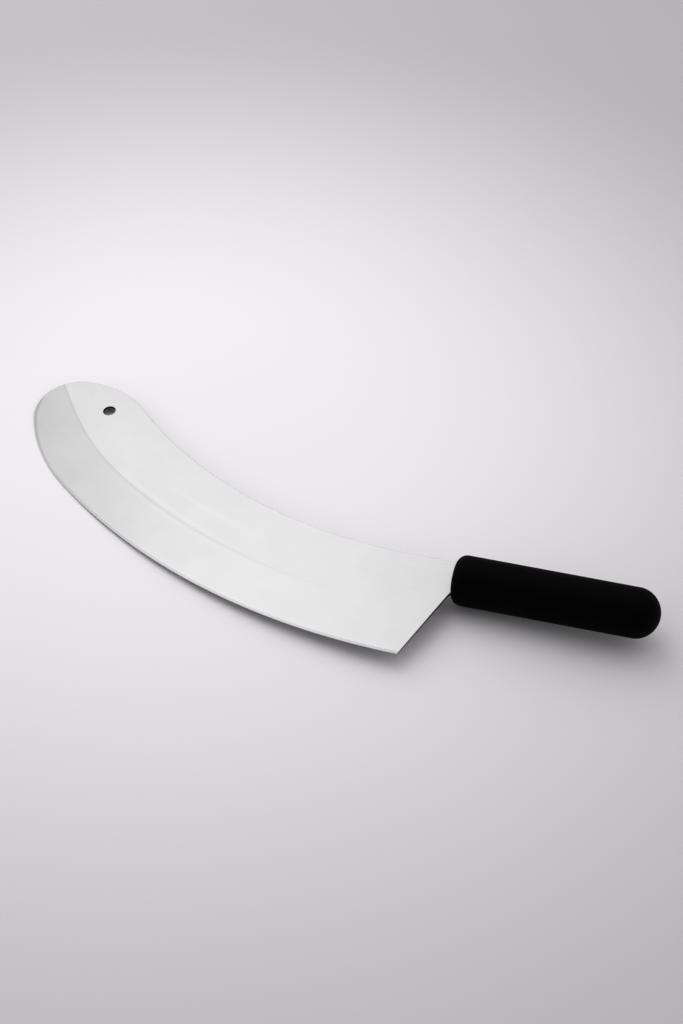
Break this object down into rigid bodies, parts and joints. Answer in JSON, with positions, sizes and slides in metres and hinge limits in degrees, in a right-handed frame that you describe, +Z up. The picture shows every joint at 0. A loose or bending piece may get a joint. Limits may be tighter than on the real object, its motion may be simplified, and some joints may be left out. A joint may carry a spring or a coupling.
{
  "type": "mezzaluna",
  "caption": "One-handled mezzaluna: a crescent steel mincing blade with a ground bevel and a hang hole, its tang moulded into a round matte black handle.",
  "frame": {"origin": "middle of the box of the knife as it lies on a table, on the table's surface", "axes": "+X along the handle towards its butt, +Y across the blade from the cutting edge towards the spine, +Z up from the table"},
  "size_m": [0.482, 0.1904, 0.0401],
  "materials": {
    "blade_steel": "satin, with the grind's fine lines along the bevel",
    "core_polymer": "moulded",
    "grip_polymer": "matte, fine spark-eroded grain"
  },
  "bodies": {
    "root": {"blade": "blade_steel", "handle_core": "core_polymer", "handle_grip": "grip_polymer"}
  },
  "joints": []
}
